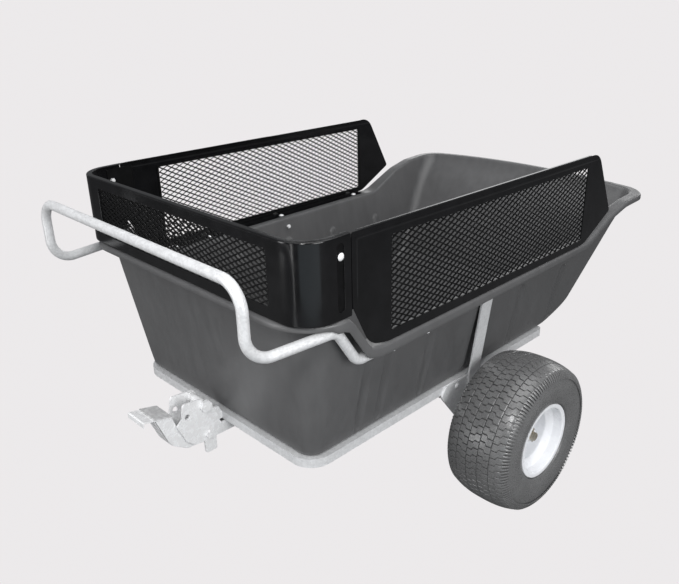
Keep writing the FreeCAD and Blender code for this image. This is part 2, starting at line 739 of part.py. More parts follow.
def front_panel():
    """Folded sheet round the front of the tub with flanges, a window and an end slot in each wing."""
    foot = RIM_HIGH
    sheet = front_band(SHEET, foot, PANEL_TOP)
    top = front_band(PANEL_FLANGE, PANEL_TOP - SHEET, PANEL_TOP)
    bottom = front_band(FOOT_FLANGE, foot, foot + SHEET)
    panel = sheet.fuse([top, bottom])
    window = front_prism([(-FRONT_WINDOW_HALF, FRONT_WINDOW[0], 8), (FRONT_WINDOW_HALF, FRONT_WINDOW[0], 8),
                          (FRONT_WINDOW_HALF, FRONT_WINDOW[1], 8), (-FRONT_WINDOW_HALF, FRONT_WINDOW[1], 8)],
                         PANEL_FRONT - 5, PANEL_FRONT + 8)
    slot = side_prism([(SLOT_Y[0], SLOT_Z[0], 10), (SLOT_Y[1], SLOT_Z[0], 10),
                       (SLOT_Y[1], SLOT_Z[1], 10), (SLOT_Y[0], SLOT_Z[1], 10)], -600, 600)
    return drilled(panel.cut(window).cut(slot), front_foot_bolts(), 12).removeSplitter()


def front_mesh():
    """Sheet behind the front window."""
    edge = 8.0
    face = PANEL_FRONT + SHEET
    return block(-FRONT_WINDOW_HALF - edge, FRONT_WINDOW_HALF + edge, face, face + SHEET,
                 FRONT_WINDOW[0] - edge, FRONT_WINDOW[1] + edge)


SIDE_WINDOW = [(-493, 714), (384, 706), (384, 933), (-493, 948)]


def side_panel(side):
    """Flat panel on the side rim with a folded top edge, a foot flange and a window."""
    rear_top = PANEL_TOP_REAR
    corners = [(PANEL_JOINT + 1, PANEL_TOP, 3), (PANEL_JOINT + 1, 812, 40), (-566, 702, 60),
               (-500, RIM_LOW, 60), (400, RIM_LOW, 80), (553, 764, 8), (446, rear_top, 58)]
    inner = side * (PANEL_PLANE - SHEET)
    outer = side * PANEL_PLANE
    sheet = side_prism(corners, inner, outer)
    window = [(y, z, 6) for y, z in SIDE_WINDOW]
    sheet = sheet.cut(side_prism(window, -600, 600))
    foot = block(*sorted((side * (PANEL_PLANE - FOOT_FLANGE), outer)), -470, 380,
                 RIM_LOW, RIM_LOW + SHEET)
    slope = (rear_top - PANEL_TOP) / (455.0 - PANEL_JOINT)
    hem_corners = [(PANEL_JOINT + 4, PANEL_TOP - 0.5, 0), (405, PANEL_TOP - 0.5 + slope * 1020, 0),
                   (405, PANEL_TOP - 2.5 + slope * 1020, 0), (PANEL_JOINT + 4, PANEL_TOP - 2.5, 0)]
    hem = side_prism(hem_corners, side * (PANEL_PLANE - 10), inner)
    panel = sheet.fuse([foot, hem])
    panel = drilled(panel, side_foot_bolts(), 12)
    return drilled(panel, handle_bolts(), 12).removeSplitter()


def side_mesh(side):
    edge = 8.0
    corners = [(-493 - edge, 714 - edge, 0), (384 + edge, 706 - edge, 0),
               (384 + edge, 933 + edge, 0), (-493 - edge, 948 + edge, 0)]
    face = PANEL_PLANE - SHEET
    return side_prism(corners, side * (face - SHEET), side * face)


def corner_joiner(side):
    """Plate inside that backs the slot and bolts the front panel's wing to the side panel."""
    face = side * (PANEL_PLANE - SHEET)
    plate = side_prism([(-664, 806, 6), (-584, 806, 6), (-584, 972, 6), (-664, 972, 6)],
                       face - side * SHEET, face)
    return drilled(plate, joiner_bolts(), 12)


# ---------------------------------------------------------------- build
os.makedirs("parts", exist_ok=True)

make_wheel("right", 1)
make_wheel("left", -1)

save("axle", axle())
save("axle_spacers", axle_spacers())
save("axle_washers", axle_washers())
save("split_pins", split_pins())
save("drawbar", drawbar())
save("axle_saddles", axle_saddles())
save("latch_cheek_right", cheek(1))
save("latch_cheek_left", cheek(-1))
save("cheek_tie_bolt", cross_bolt(TIE_Y, TIE_Z, TIE_RADIUS, 17.5, 11.0))
save("cheek_tie_spacer", tie_spacer())
save("pedal_pivot_bolt", cross_bolt(PIVOT_Y, PIVOT_Z, PIVOT_RADIUS, 10.5, 7.5))

save("pedal_arm", pedal_arm())
save("pedal_plate", pedal_plate())
save("pedal_tread", pedal_tread())
save("pedal_return_spring", return_spring())

save("base_ring", base_ring())
save("cross_member_front", cross_member(-330))
save("cross_member_middle", cross_member(0))
save("cross_member_rear", cross_member(290))
for side_name, side_sign in (("right", 1), ("left", -1)):
    save("axle_bracket_" + side_name, axle_bracket(side_sign))
    save("axle_bush_" + side_name, axle_bush(side_sign))
    save("strut_" + side_name, strut(side_sign))
    save("side_panel_" + side_name, side_panel(side_sign))
    save("side_mesh_" + side_name, side_mesh(side_sign))
    save("corner_joiner_" + side_name, corner_joiner(side_sign))
save("latch_striker", latch_striker())
save("tub", tub())
save("push_handle", push_handle())
save("front_panel", front_panel())
save("front_mesh", front_mesh())

save("side_panel_bolts", make_bolts(side_foot_bolts()))
save("front_panel_bolts", make_bolts(front_foot_bolts()))
save("joiner_bolts", make_bolts(joiner_bolts()))
save("handle_bolts", make_bolts(handle_bolts()))
save("floor_bolts", make_bolts(floor_bolts()))
save("bracket_bolts", make_bolts(bracket_bolts()))
save("strut_bolts", make_bolts(strut_bolts()))
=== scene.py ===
import json
import math

import bmesh
import bpy
import numpy as np
from mathutils import Matrix, Vector


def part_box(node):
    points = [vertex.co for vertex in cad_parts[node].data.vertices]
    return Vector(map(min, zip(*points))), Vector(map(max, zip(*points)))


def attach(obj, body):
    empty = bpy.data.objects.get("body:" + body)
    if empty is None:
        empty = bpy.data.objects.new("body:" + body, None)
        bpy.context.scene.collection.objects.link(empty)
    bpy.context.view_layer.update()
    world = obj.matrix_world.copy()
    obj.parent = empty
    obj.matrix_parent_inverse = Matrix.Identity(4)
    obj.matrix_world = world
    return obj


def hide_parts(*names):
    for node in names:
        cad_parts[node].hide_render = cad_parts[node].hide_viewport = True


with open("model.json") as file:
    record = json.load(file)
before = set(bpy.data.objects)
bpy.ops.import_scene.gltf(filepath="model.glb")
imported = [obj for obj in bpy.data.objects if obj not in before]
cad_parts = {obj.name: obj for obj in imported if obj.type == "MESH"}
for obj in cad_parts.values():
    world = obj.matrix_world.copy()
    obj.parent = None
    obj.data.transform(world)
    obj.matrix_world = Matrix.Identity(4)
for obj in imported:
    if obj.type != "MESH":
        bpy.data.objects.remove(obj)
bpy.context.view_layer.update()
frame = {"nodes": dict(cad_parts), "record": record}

# Two-wheeled tipping garden cart. Shapes are drawn in millimetres with the axle at Y = 0,
# +Z up, -Y forward (push handle and latch), and place() puts them in the row's frame.

SCENE = bpy.context.scene
MM = 0.001


def centre(node):
    low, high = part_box(node)
    return (low + high) / 2


AXLE_Y = centre("axle").y
AXLE_Z = centre("axle").z / MM


def place(point):
    return Vector((point[0] * MM, point[1] * MM + AXLE_Y, point[2] * MM))


def drawn_box(node):
    """Lowest and highest corners of a CAD node, in drawing millimetres."""
    low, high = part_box(node)
    shift = Vector((0, AXLE_Y, 0))
    return (low - shift) / MM, (high - shift) / MM


# ---------------------------------------------------------------- camera, light, floor
EYE = (1506.6, -1642.2, 1470.9)
EYE_YAW = 46.151
EYE_PITCH = 23.226
EYE_ROLL = -1.449
SENSOR = 36.0
LENS = 38.84


def add_camera():
    """The eye stands to the front right, above the handle, and rolls slightly."""
    yaw, pitch, roll = [math.radians(angle) for angle in (EYE_YAW, EYE_PITCH, EYE_ROLL)]
    reach = math.cos(pitch)
    ahead = Vector((-math.sin(yaw) * reach, math.cos(yaw) * reach, -math.sin(pitch)))
    level = Vector((math.cos(yaw), math.sin(yaw), 0))
    rise = level.cross(ahead)
    right = math.cos(roll) * level + math.sin(roll) * rise
    up = math.cos(roll) * rise - math.sin(roll) * level
    data = bpy.data.cameras.new("camera")
    data.sensor_fit = "HORIZONTAL"
    data.sensor_width = SENSOR
    data.lens = LENS
    data.clip_end = 300.0
    camera = bpy.data.objects.new("camera", data)
    turn = Matrix((right, up, -ahead)).transposed().to_4x4()
    camera.matrix_world = Matrix.Translation(place(EYE)) @ turn
    SCENE.collection.objects.link(camera)
    SCENE.camera = camera


WHITE = (1.0, 1.0, 1.0)
COOL = (0.78, 0.92, 1.0)
# name, place, the point it faces, width and height, watts, colour; metres
SOFTBOXES = [
    ("overhead", (0.2, 0.0, 3.0), (0, 0.0, 0.5), (2.4, 2.4), 33, WHITE),
    ("front_left", (-0.9, -3.1, 1.2), (0, -0.4, 0.5), (0.8, 2.4), 32, WHITE),
    ("right", (3.4, -0.9, 1.7), (0.3, 0, 0.3), (1.6, 1.6), 62, WHITE),
    ("back", (-1.8, 4.0, 1.7), (0.2, 0.2, 0.7), (5.0, 1.8), 48, WHITE),
    ("spout_back", (0.7, 4.2, 1.9), (0.45, 0.8, 0.78), (0.7, 0.5), 9, WHITE),
    ("strip", (0.56, -2.2, 0.85), (0.46, -0.73, 0.8), (0.12, 1.6), 2.2, WHITE),
    ("low_front", (1.88, -1.64, 0.42), (0.46, -0.73, 0.85), (2.1, 0.8), 2.8, COOL),
    ("key", (1.27, -1.8, 2.15), (0.6, -0.15, 0.35), (0.3, 0.4), 17, WHITE),
]


def add_softbox(name, spot, target, size, watts, colour):
    data = bpy.data.lights.new(name, "AREA")
    data.shape = "RECTANGLE"
    data.size, data.size_y = size
    data.energy = watts
    data.color = colour
    light = bpy.data.objects.new(name, data)
    turn = (Vector(target) - Vector(spot)).to_track_quat("-Z", "Y").to_matrix().to_4x4()
    light.matrix_world = Matrix.Translation(spot) @ turn
    light.visible_camera = False
    SCENE.collection.objects.link(light)


def by_ray(tree, kind, usual, special):
    """Use the special shader for one kind of ray and the usual one for all others."""
    path = tree.nodes.new("ShaderNodeLightPath")
    mix = tree.nodes.new("ShaderNodeMixShader")
    tree.links.new(path.outputs[kind], mix.inputs[0])
    tree.links.new(usual.outputs[0], mix.inputs[1])
    tree.links.new(special.outputs[0], mix.inputs[2])
    return mix


PAPER = (0.840, 0.820, 0.828, 1)
FLOOR_GREY = (0.14, 0.14, 0.14, 1)
FLOOR_REACH = 120.0


def add_sky(tree, colour, strength):
    sky = tree.nodes.new("ShaderNodeBackground")
    sky.inputs["Color"].default_value = colour
    sky.inputs["Strength"].default_value = strength
    return sky


def add_studio():
    """Softboxes in a pale surround: the lens sees paper, and shiny parts see a dimmer room."""
    world = bpy.data.worlds.new("studio")
    world.use_nodes = True
    tree = world.node_tree
    seen = tree.nodes["Background"]
    seen.inputs["Color"].default_value = PAPER
    soft = add_sky(tree, (0.95, 0.96, 1.0, 1), 0.62)
    dim = add_sky(tree, (0.95, 0.97, 1.0, 1), 0.20)
    lit = by_ray(tree, "Is Glossy Ray", soft, dim)
    surround = by_ray(tree, "Is Camera Ray", lit, seen)
    tree.links.new(surround.outputs[0], tree.nodes["World Output"].inputs["Surface"])
    SCENE.world = world
    SCENE.view_settings.view_transform = "Standard"
    for softbox in SOFTBOXES:
        add_softbox(*softbox)


def add_floor():
    mesh = bpy.data.meshes.new("floor")
    corners = [(FLOOR_REACH * x, FLOOR_REACH * y, 0) for x, y in ((-1, -1), (1, -1), (1, 1), (-1, 1))]
    mesh.from_pydata(corners, [], [(0, 1, 2, 3)])
    floor = bpy.data.objects.new("floor", mesh)
    SCENE.collection.objects.link(floor)
    paper = bpy.data.materials.new("floor_paper")
    paper.use_nodes = True
    tree = paper.node_tree
    lit = tree.nodes["Principled BSDF"]
    lit.inputs["Base Color"].default_value = FLOOR_GREY
    lit.inputs["Roughness"].default_value = 1.0
    lit.inputs["Specular IOR Level"].default_value = 0.0
    seen = tree.nodes.new("ShaderNodeEmission")
    seen.inputs["Color"].default_value = PAPER
    surface = by_ray(tree, "Is Camera Ray", lit, seen)
    tree.links.new(surface.outputs[0], tree.nodes["Material Output"].inputs["Surface"])
    mesh.materials.append(paper)


# ---------------------------------------------------------------- finishes
class Finish:
    """A procedural material: a Principled shader with layers of noise in object space."""

    def __init__(self, name, colour, roughness, metallic=0.0, specular=0.5):
        self.material = bpy.data.materials.new(name)
        self.material.use_nodes = True
        self.tree = self.material.node_tree
        self.shader = self.tree.nodes["Principled BSDF"]
        self.colour = colour
        self.put("Base Color", (*colour, 1))
        self.put("Roughness", roughness)
        self.put("Metallic", metallic)
        self.put("Specular IOR Level", specular)
        self.space = self.add("ShaderNodeTexCoord").outputs["Object"]
        self.normal = None

    def put(self, socket, value):
        self.shader.inputs[socket].default_value = value

    def add(self, kind, **settings):
        node = self.tree.nodes.new(kind)
        for key, value in settings.items():
            setattr(node, key, value)
        return node

    def link(self, source, target):
        self.tree.links.new(source, target)

    def stretched(self, scale):
        """Object space squeezed along some axes, for brushed or drawn marks."""
        node = self.add("ShaderNodeMapping")
        node.inputs["Scale"].default_value = scale
        self.link(self.space, node.inputs["Vector"])
        return node.outputs["Vector"]

    def noise(self, scale, detail=3.0, space=None):
        node = self.add("ShaderNodeTexNoise")
        node.inputs["Scale"].default_value = scale
        node.inputs["Detail"].default_value = detail
        self.link(space or self.space, node.inputs["Vector"])
        return node.outputs["Fac"]

    def cells(self, scale):
        """Flat random tone per crystal."""
        node = self.add("ShaderNodeTexVoronoi")
        node.inputs["Scale"].default_value = scale
        self.link(self.space, node.inputs["Vector"])
        split = self.add("ShaderNodeSeparateColor")
        self.link(node.outputs["Color"], split.inputs["Color"])
        return split.outputs["Red"]

    def spread(self, source, low, high, start=0.3, end=0.7):
        node = self.add("ShaderNodeMapRange")
        for socket, value in (("From Min", start), ("From Max", end), ("To Min", low), ("To Max", high)):
            node.inputs[socket].default_value = value
        self.link(source, node.inputs["Value"])
        return node.outputs["Result"]

    def sum(self, first, second):
        node = self.add("ShaderNodeMath", operation="ADD")
        self.link(first, node.inputs[0])
        self.link(second, node.inputs[1])
        return node.outputs[0]

    def tint(self, source, dark, light):
        """Colour between two tones; source runs from 0 to 1."""
        node = self.add("ShaderNodeMix", data_type="RGBA")
        self.link(source, node.inputs["Factor"])
        node.inputs["A"].default_value = (*dark, 1)
        node.inputs["B"].default_value = (*light, 1)
        self.link(node.outputs["Result"], self.shader.inputs["Base Color"])

    def shades(self, source, low, high):
        """The finish's own colour, from low to high times as bright."""
        self.tint(source, [c * low for c in self.colour], [c * high for c in self.colour])

    def rough(self, source, low, high):
        self.link(self.spread(source, low, high), self.shader.inputs["Roughness"])

    def bump(self, source, height, strength=1.0):
        node = self.add("ShaderNodeBump")
        node.inputs["Distance"].default_value = height
        node.inputs["Strength"].default_value = strength
        self.link(source, node.inputs["Height"])
        if self.normal is not None:
            self.link(self.normal, node.inputs["Normal"])
        self.normal = node.outputs["Normal"]
        self.link(self.normal, self.shader.inputs["Normal"])


def make_finishes():
    made = {}

    plastic = Finish("tub_plastic", (0.094, 0.094, 0.095), 0.36, specular=0.55)
    cloud = plastic.noise(3.5, 4)
    grain = plastic.noise(1500, 2)
    scuff = plastic.noise(38, 6, plastic.stretched((1, 1, 0.25)))
    plastic.shades(plastic.spread(plastic.sum(cloud, scuff), 0, 1, 0.75, 1.3), 0.92, 1.12)
    plastic.rough(scuff, 0.30, 0.46)
    plastic.bump(plastic.noise(9, 2), 0.004, 0.35)
    plastic.bump(grain, 0.00015, 0.5)
    made["tub_plastic"] = plastic

    zinc = Finish("galvanised_steel", (0.68, 0.685, 0.69), 0.36, metallic=0.25)
    crystals = zinc.cells(190)
    stain = zinc.noise(22, 5)
    zinc.shades(zinc.spread(zinc.sum(crystals, stain), 0, 1, 0.3, 1.5), 0.92, 1.10)
    zinc.rough(crystals, 0.34, 0.50)
    zinc.bump(zinc.noise(420, 3), 0.0002, 0.4)
    made["galvanised_steel"] = zinc

    paint = Finish("black_paint", (0.0030, 0.0030, 0.0034), 0.14, specular=0.5)
    haze = paint.noise(26, 5)
    paint.shades(paint.spread(haze, 0, 1), 0.7, 1.6)
    paint.rough(haze, 0.11, 0.20)
    paint.bump(paint.noise(520, 2), 0.00012, 0.35)
    paint.bump(paint.noise(14, 2), 0.0012, 0.10)
    made["black_paint"] = paint

    mesh = Finish("black_mesh", (0.0025, 0.0025, 0.0027), 0.40, specular=0.22)
    mesh.shades(mesh.spread(mesh.noise(60, 4), 0, 1), 0.6, 1.8)
    mesh.bump(mesh.noise(900, 2), 0.0001, 0.4)
    made["black_mesh"] = mesh

    plate = Finish("zinc_plate", (0.86, 0.865, 0.87), 0.24, metallic=0.15)
    film = plate.noise(60, 3)
    plate.tint(plate.spread(film, 0, 1), (0.82, 0.82, 0.82), (0.92, 0.925, 0.93))
    plate.rough(film, 0.18, 0.34)
    plate.bump(plate.noise(1200, 2), 0.00006, 0.4)
    made["zinc_plate"] = plate

    pad = Finish("pedal_rubber", (0.50, 0.50, 0.50), 0.62)
    pad.shades(pad.spread(pad.noise(90, 5), 0, 1), 0.75, 1.2)
    pad.rough(pad.noise(45, 3), 0.5, 0.75)
    pad.bump(pad.noise(1100, 2), 0.0001, 0.5)
    made["pedal_rubber"] = pad

    steel = Finish("spring_steel", (0.36, 0.36, 0.37), 0.34, metallic=1.0)
    drawn = steel.noise(70, 4, steel.stretched((0.15, 1, 1)))
    steel.shades(steel.spread(drawn, 0, 1), 0.7, 1.25)
    steel.rough(drawn, 0.26, 0.46)
    steel.bump(steel.noise(900, 2, steel.stretched((0.1, 1, 1))), 0.00006, 0.5)
    made["spring_steel"] = steel

    rubber = Finish("tyre_rubber", (0.125, 0.125, 0.125), 0.30, specular=1.0)
    dust = rubber.noise(30, 6)
    specks = rubber.noise(420, 3)
    rubber.shades(rubber.spread(rubber.sum(dust, specks), 0, 1, 0.6, 1.4), 0.82, 1.2)
    rubber.rough(specks, 0.22, 0.36)
    rubber.bump(specks, 0.0004, 0.55)
    made["tyre_rubber"] = rubber

    white = Finish("white_paint", (0.83, 0.84, 0.86), 0.26)
    tone = white.noise(18, 4)
    white.shades(white.spread(tone, 0, 1), 0.95, 1.02)
    white.rough(tone, 0.20, 0.33)
    white.bump(white.noise(600, 2), 0.0001, 0.3)
    made["white_paint"] = white

    brass = Finish("brass", (0.62, 0.50, 0.27), 0.30, metallic=1.0)
    tarnish = brass.noise(110, 5)
    brass.tint(brass.spread(tarnish, 0, 1), (0.42, 0.34, 0.18), (0.75, 0.62, 0.36))
    brass.rough(tarnish, 0.24, 0.42)
    made["brass"] = brass

    yellow = Finish("yellow_zinc", (0.50, 0.45, 0.36), 0.34, metallic=0.8)
    passivate = yellow.noise(75, 5)
    yellow.tint(yellow.spread(passivate, 0, 1), (0.38, 0.34, 0.27), (0.62, 0.57, 0.47))
    yellow.rough(passivate, 0.26, 0.44)
    yellow.bump(yellow.noise(700, 2), 0.00006, 0.4)
    made["yellow_zinc"] = yellow

    nylon = Finish("bush_nylon", (0.58, 0.55, 0.47), 0.5)
    nylon.shades(nylon.spread(nylon.noise(50, 4), 0, 1), 0.9, 1.06)
    nylon.bump(nylon.noise(800, 2), 0.00008, 0.4)
    nylon.put("Subsurface Weight", 0.1)
    made["bush_nylon"] = nylon
    return made


# ---------------------------------------------------------------- mesh building
FINISHES = make_finishes()
SLOT_OF = {part["node"]: part["material_slot"] for part in frame["record"]["subparts"]}
BODIES = frame["record"]["behaviour"]["bodies"]
BODY_OF = {node: body for body, nodes in BODIES.items() for node in nodes}
# nodes whose look differs from their slot's usual finish
OWN_FINISH = {"axle": "yellow_zinc", "split_pins": "yellow_zinc",
              "corner_joiner_right": "black_mesh", "corner_joiner_left": "black_mesh"}


def finish_of(node):
    return FINISHES[OWN_FINISH.get(node, SLOT_OF[node])].material


def add_piece(name, mesh, node):
    """Link a finished mesh with the finish, body and slot of a CAD node."""
    piece = bpy.data.objects.new(name, mesh)
    SCENE.collection.objects.link(piece)
    mesh.materials.clear()
    mesh.materials.append(finish_of(node))
    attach(piece, BODY_OF[node])
    return piece


def show(name, mesh, node):
    """Add a mesh as the piece that stands for a CAD node."""
    piece = add_piece(name, mesh, node)
    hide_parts(node)
    return piece


def tidy(mesh, sharp):
    """Weld, point every face outward and shade smooth between the sharp edges."""
    work = bmesh.new()
    work.from_mesh(mesh)
    bmesh.ops.remove_doubles(work, verts=work.verts, dist=1e-6)
    bmesh.ops.recalc_face_normals(work, faces=work.faces)
    work.to_mesh(mesh)
    work.free()
    mesh.shade_smooth()
    mesh.set_sharp_from_angle(angle=math.radians(sharp))


class Form:
    """Points in drawing millimetres, and faces, gathered into one mesh."""

    def __init__(self):
        self.points = []
        self.faces = []

    def add(self, points, faces):
        start = len(self.points)
        self.points += [tuple(p) for p in points]
        self.faces += [tuple(start + i for i in face) for face in faces]

    def grid(self, rows, loop_rows=False, loop_columns=False, caps=False):
        """Quads between rows of points, closed round either way, with flat end caps."""
        wide = len(rows[0])
        tall = len(rows)
        faces = []
        for r in range(tall if loop_rows else tall - 1):
            for c in range(wide if loop_columns else wide - 1):
                below = (r + 1) % tall * wide
                beside = (c + 1) % wide
                faces.append((r * wide + c, r * wide + beside, below + beside, below + c))
        if caps:
            faces.append(tuple(range(wide)))
            faces.append(tuple((tall - 1) * wide + c for c in range(wide)))
        self.add([p for row in rows for p in row], faces)

    def mesh(self, name, sharp=38.0):
        mesh = bpy.data.meshes.new(name)
        mesh.from_pydata([place(p) for p in self.points], [], self.faces)
        tidy(mesh, sharp)
        return mesh


def rounded(corners, closed=True, turn=9.0):
    """Points (u, v) along straight runs whose corners (u, v, radius) are tangent arcs."""
    line = []
    count = len(corners)
    for k, (u, v, radius) in enumerate(corners):
        here = Vector((u, v))
        if radius <= 0 or (not closed and k in (0, count - 1)):
            line.append(here)
            continue
        back = (Vector(corners[k - 1][:2]) - here).normalized()
        ahead = (Vector(corners[(k + 1) % count][:2]) - here).normalized()
        half = back.angle(ahead) / 2
        bisector = (back + ahead).normalized()
        middle = here + bisector * (radius / math.sin(half))
        sweep = math.pi - 2 * half
        steps = max(2, math.ceil(math.degrees(sweep) / turn))
        side = 1 if back.x * ahead.y - back.y * ahead.x < 0 else -1
        for i in range(steps + 1):
            angle = side * sweep * (i / steps - 0.5)
            spoke = -bisector * radius
            line.append(middle + Vector((spoke.x * math.cos(angle) - spoke.y * math.sin(angle),
                                         spoke.x * math.sin(angle) + spoke.y * math.cos(angle))))
    return line


def bend(points, radii, turn=5.0):
    """Points along a path in space whose inner corners are tangent arcs."""
    path = [Vector(points[0])]
    for k, radius in enumerate(radii, 1):
        here = Vector(points[k])
        back = (Vector(points[k - 1]) - here).normalized()
        ahead = (Vector(points[k + 1]) - here).normalized()
        half = back.angle(ahead) / 2
        bisector = (back + ahead).normalized()
        middle = here + bisector * (radius / math.sin(half))
        across = (ahead - back).normalized()
        sweep = math.pi - 2 * half
        steps = max(2, math.ceil(math.degrees(sweep) / turn))
        for i in range(steps + 1):
            angle = sweep * (i / steps - 0.5)
            path.append(middle - bisector * radius * math.cos(angle) + across * radius * math.sin(angle))
    path.append(Vector(points[-1]))
    return path


def tube(form, path, radius, sides=24, wall=0.0):
    """Round bar, or a tube with open ends where wall is given, along a path."""
    way = (path[1] - path[0]).normalized()
    side = way.orthogonal().normalized()
    rings = []
    for k, here in enumerate(path):
        ahead = (path[min(k + 1, len(path) - 1)] - here).normalized()
        back = (here - path[max(k - 1, 0)]).normalized()
        way = (ahead + back).normalized()
        side = (side - way * side.dot(way)).normalized()
        rings.append((here, side.copy(), way.cross(side)))

    def skin(size):
        return [[c + size * (math.cos(t) * a + math.sin(t) * b)
                 for t in (2 * math.pi * i / sides for i in range(sides))] for c, a, b in rings]
    if wall:
        form.grid(skin(radius) + skin(radius - wall)[::-1], loop_rows=True, loop_columns=True)
    else:
        form.grid(skin(radius), loop_columns=True, caps=True)


def lathe(form, profile, x, segments=128):
    """Turn a closed profile of (offset along X, radius) about the axle."""
    rows = []
    for k in range(segments):
        angle = 2 * math.pi * k / segments
        rows.append([(x + out, radius * math.sin(angle), AXLE_Z + radius * math.cos(angle))
                     for out, radius in profile])
    form.grid(rows, loop_rows=True, loop_columns=True)


def sheet(name, outline, holes, thickness, edge, cuts):
    """Flat plate in (u, v) with softened edges, thickness inward along -w, sliced along the cut lines.

    cuts are (point, normal) pairs in (u, v); the slices let the plate fold there."""
    curve = bpy.data.curves.new(name, "CURVE")
    curve.dimensions = "2D"
    curve.fill_mode = "BOTH"
    curve.extrude = thickness / 2 - edge
    curve.bevel_depth = edge
    curve.bevel_resolution = 1
    curve.offset = -edge
    for loop in [outline] + holes:
        spline = curve.splines.new("POLY")
        spline.points.add(len(loop) - 1)
        for point, spot in zip(spline.points, loop):
            point.co = (spot[0], spot[1], 0, 1)
        spline.use_cyclic_u = True
    helper = bpy.data.objects.new(name, curve)
    SCENE.collection.objects.link(helper)
    bpy.context.view_layer.update()
    flat = bpy.data.meshes.new_from_object(helper.evaluated_get(bpy.context.evaluated_depsgraph_get()))
    bpy.data.objects.remove(helper)
    bpy.data.curves.remove(curve)
    work = bmesh.new()
    work.from_mesh(flat)
    bpy.data.meshes.remove(flat)
    bmesh.ops.remove_doubles(work, verts=work.verts, dist=1e-3)
    for spot, normal in cuts:
        parts = work.verts[:] + work.edges[:] + work.faces[:]
        bmesh.ops.bisect_plane(work, geom=parts, dist=1e-4, plane_co=(*spot, 0), plane_no=(*normal, 0))
    for vertex in work.verts:
        vertex.co.z -= thickness / 2
    return work


def shaped(name, work, formed, sharp=22.0):
    """Finish a sliced plate: formed() takes (u, v, w) to drawing millimetres."""
    for vertex in work.verts:
        vertex.co = place(formed(*vertex.co))
    mesh = bpy.data.meshes.new(name)
    work.to_mesh(mesh)
    work.free()
    tidy(mesh, sharp)
    return mesh


def soften(node, width=0.9):
    """The CAD node again, with small rounded edges that catch the light."""
    source = frame["nodes"][node]
    mesh = source.data.copy()
    mesh.name = node + "_soft"
    work = bmesh.new()
    work.from_mesh(mesh)
    bmesh.ops.remove_doubles(work, verts=work.verts, dist=1e-6)
    bmesh.ops.dissolve_limit(work, angle_limit=math.radians(1.0), verts=work.verts, edges=work.edges)
    work.to_mesh(mesh)
    work.free()
    mesh.shade_smooth()
    mesh.set_sharp_from_angle(angle=math.radians(30))
    piece = show(node + "_soft", mesh, node)
    modifier = piece.modifiers.new("edge", "BEVEL")
    modifier.width = width * MM
    modifier.segments = 2
    modifier.limit_method = "ANGLE"
    modifier.angle_limit = math.radians(40)
    modifier.harden_normals = True
    return piece


# ---------------------------------------------------------------- tub
TUB_LOW, TUB_HIGH = drawn_box("tub")
FLOOR_Z = TUB_LOW.z
FLOOR_HALF = 372.0
FLOOR_FRONT = -665.0
SIDE_DRAFT = 0.21
FRONT_DRAFT = 0.15
RIM_HALF, RIM_FRONT, RIM_REAR = TUB_HIGH.x, TUB_LOW.y, TUB_HIGH.y
RIM_CORNERS = (130.0, 72.0)
WALL = 5.0
RIM_SKIN = 4.0
EDGE = 9.0
INNER_FILLET = 24.0
OUTER_FILLET = 14.0
# height, rear edge, front corner radius, rear corner radius
TUB_LEVELS = np.array([(FLOOR_Z, 380, 42, 25), (418, 535, 45, 32), (690, 722, 90, 42),
                       (766, 796, 104, 50), (830, 812, 112, 58)], float)
RIM_TOP = [(-1000, 792, 0), (-627, 792, 12), (-563, 694, 30), (-520, 686, 40), (430, 686, 120),
           (575, 748, 160), (665, 768, 80), (1000, 780, 0)]
SKIRT = [(-1000, 776, 0), (-682, 776, 8), (-664, 764, 8), (-638, 764, 8), (-575, 670, 26),
         (-530, 658, 40), (430, 667, 120), (575, 730, 160), (665, 750, 80), (1000, 760, 0)]
# ribs pressed into the side walls: Y, top height
RIBS = ((-505, 618), (-428, 618), (-258, 620), (-40, 621), (174, 606), (410, 603))
RIB_HALF = 16.0
RIB_SLOPE = 8.0
RIB_DEPTH = 6.0
LIP_CROWN = 20.0
WALL_ROWS = 80


# kinds of station round half the plan, from the middle of the front to the middle of the rear
FRONT, FRONT_TURN, SIDE, SIDE_END, REAR_TURN, REAR = range(6)
SIDE_REACH = (-612, 471)
SIDE_STEP = 4
STEADY = 300.0
STRETCH = 170.0


def stations():
    """All stations round the plan: kind, position within it, and which side of the cart."""
    made = [(FRONT, k / 14) for k in range(14)]
    made += [(FRONT_TURN, k / 14) for k in range(15)]
    made += [(SIDE, y) for y in range(*SIDE_REACH, SIDE_STEP)]
    made += [(SIDE_END, k / 16) for k in range(1, 16)]
    made += [(REAR_TURN, k / 14) for k in range(15)]
    made += [(REAR, k / 14) for k in range(1, 15)]
    half = [(kind, spot, 1) for kind, spot in made]
    back = [(kind, spot, -1) for kind, spot in reversed(made[1:-1])]
    return half + back


STATIONS = stations()
KIND = np.array([s[0] for s in STATIONS])
SPOT = np.array([s[1] for s in STATIONS], float)
HAND = np.array([s[2] for s in STATIONS], float)


